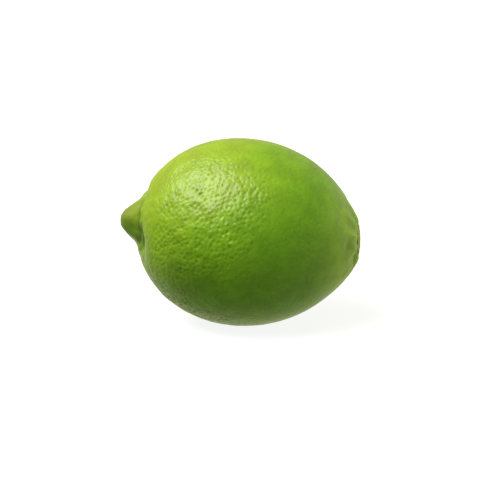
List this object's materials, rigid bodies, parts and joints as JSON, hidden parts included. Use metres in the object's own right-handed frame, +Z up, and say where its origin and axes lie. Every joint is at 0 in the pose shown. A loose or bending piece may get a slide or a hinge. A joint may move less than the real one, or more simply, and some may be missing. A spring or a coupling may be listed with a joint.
{
  "type": "lime",
  "caption": "Whole fresh lime lying on its side: an egg-shaped fruit with a blunt nipple at one end and a lobed calyx seated in the other.",
  "frame": {"origin": "on the surface the lime rests on, below the middle of its bounding box", "axes": "+X along the long axis in plan, from the nipple to the stem end; +Z up; the side seen in the picture faces -Y. The fruit's own axis dips 3.4 degrees below +X at the stem end."},
  "size_m": [0.0658, 0.0512, 0.0509],
  "materials": {
    "rind": "waxy green citrus rind with fine pits over its oil glands, satin to glossy, yellower at the nipple",
    "calyx": "dry matt olive-brown calyx with a paler woody scar"
  },
  "bodies": {
    "root": {"fruit": "rind", "calyx": "calyx"}
  },
  "joints": []
}
